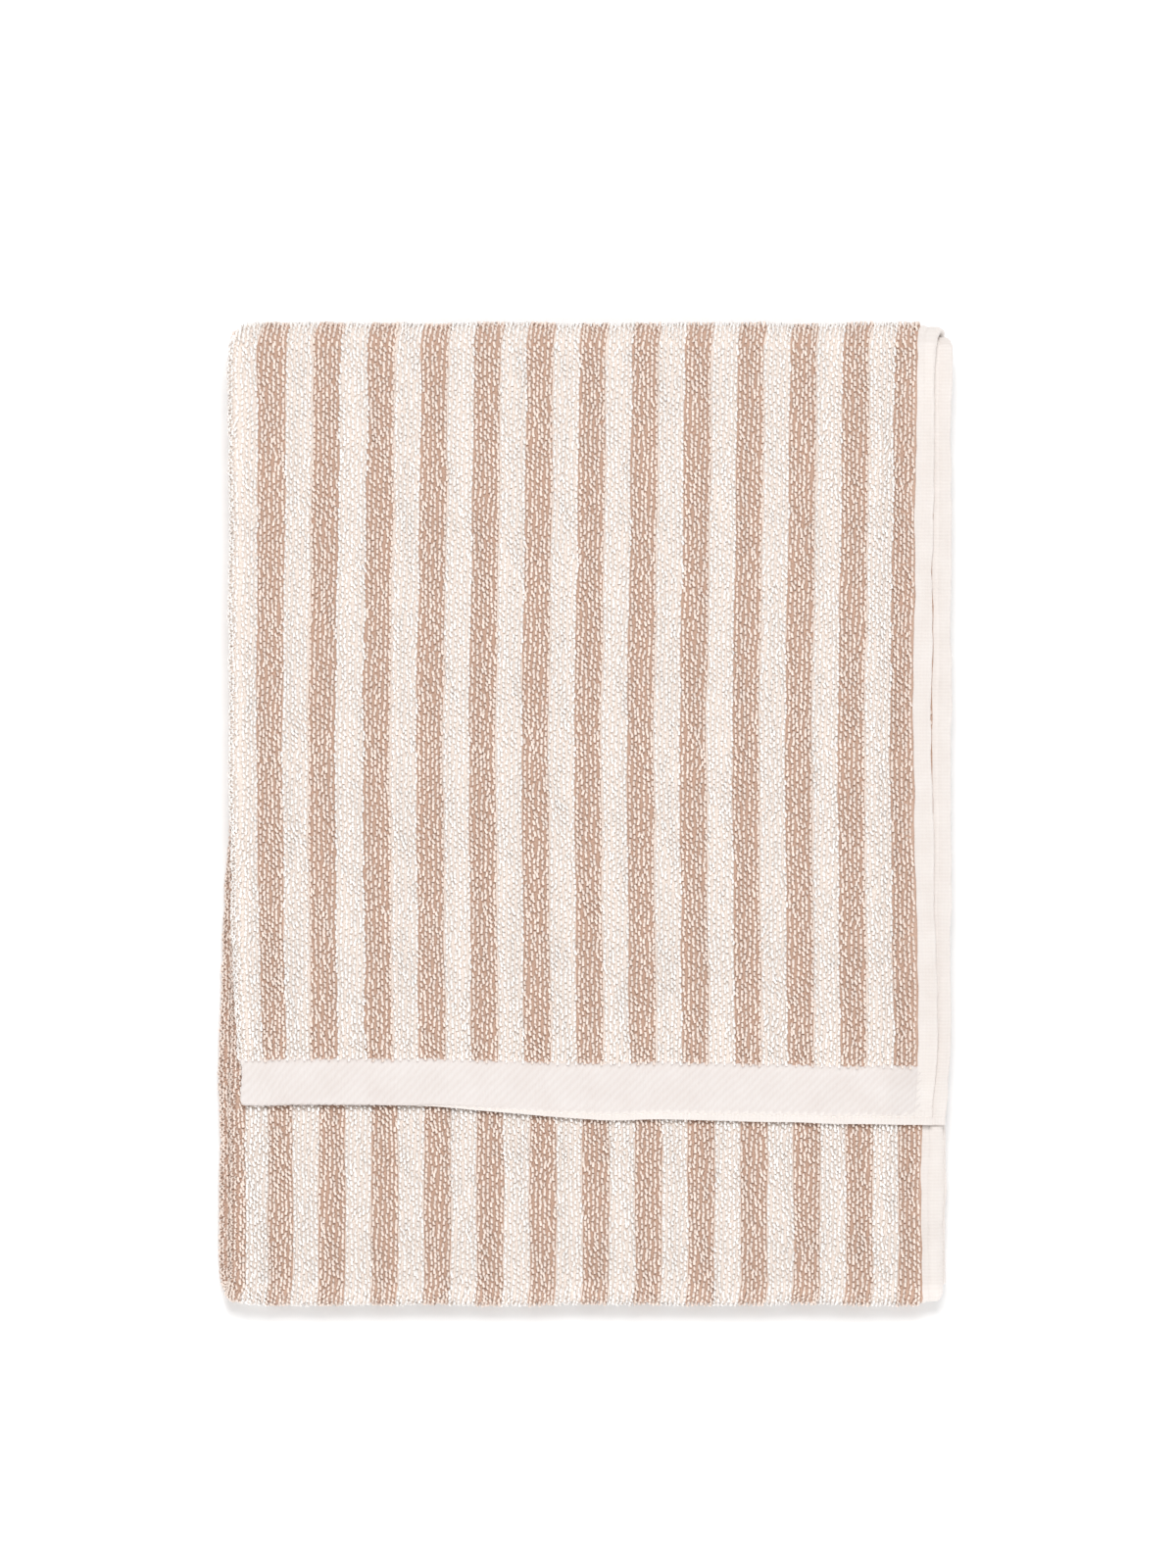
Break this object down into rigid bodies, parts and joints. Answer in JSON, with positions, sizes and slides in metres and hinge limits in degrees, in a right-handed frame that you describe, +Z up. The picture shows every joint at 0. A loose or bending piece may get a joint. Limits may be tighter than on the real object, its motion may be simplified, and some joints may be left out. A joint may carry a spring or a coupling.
{
  "type": "folded terry towel",
  "caption": "Striped terry towel folded in half and then in three like a fan, whose folds open until it lies flat.",
  "frame": {"origin": "centre of the folded pack's outline, on the surface that it lies on", "axes": "+X across the stripes towards the long hems, +Y along the stripes towards the top fold, +Z up from the surface"},
  "size_m": [0.2586, 0.345, 0.0237],
  "materials": {
    "terry": "matte",
    "flat_weave": "matte",
    "sewing_thread": "matte"
  },
  "bodies": {
    "base": {"base_cloth": "terry", "base_lower_side_hem": "flat_weave", "base_upper_side_hem": "flat_weave", "base_border": "flat_weave", "base_end_hem": "flat_weave", "base_end_stitching": "sewing_thread"},
    "middle": {"middle_cloth": "terry", "middle_lower_side_hem": "flat_weave", "middle_upper_side_hem": "flat_weave", "bottom_fold_inner": "terry", "bottom_fold_outer": "terry", "bottom_fold_inner_side_hem": "flat_weave", "bottom_fold_outer_side_hem": "flat_weave"},
    "flap": {"flap_cloth": "terry", "flap_lower_side_hem": "flat_weave", "flap_upper_side_hem": "flat_weave", "flap_border": "flat_weave", "flap_end_hem": "flat_weave", "flap_end_stitching": "sewing_thread", "top_fold_inner": "terry", "top_fold_outer": "terry", "top_fold_inner_side_hem": "flat_weave", "top_fold_outer_side_hem": "flat_weave"}
  },
  "joints": [
    {"name": "bottom_fold", "type": "hinge", "parent": "base", "child": "middle", "pos_m": [0, -0.16465, 0.00785], "axis": [1, 0, 0], "range_deg": [0, 180], "deforming": ["bottom_fold_inner", "bottom_fold_outer", "bottom_fold_inner_side_hem", "bottom_fold_outer_side_hem"]},
    {"name": "top_fold", "type": "hinge", "parent": "middle", "child": "flap", "pos_m": [0, 0.16465, 0.01585], "axis": [-1, 0, 0], "range_deg": [0, 180], "deforming": ["top_fold_inner", "top_fold_outer", "top_fold_inner_side_hem", "top_fold_outer_side_hem"]}
  ]
}
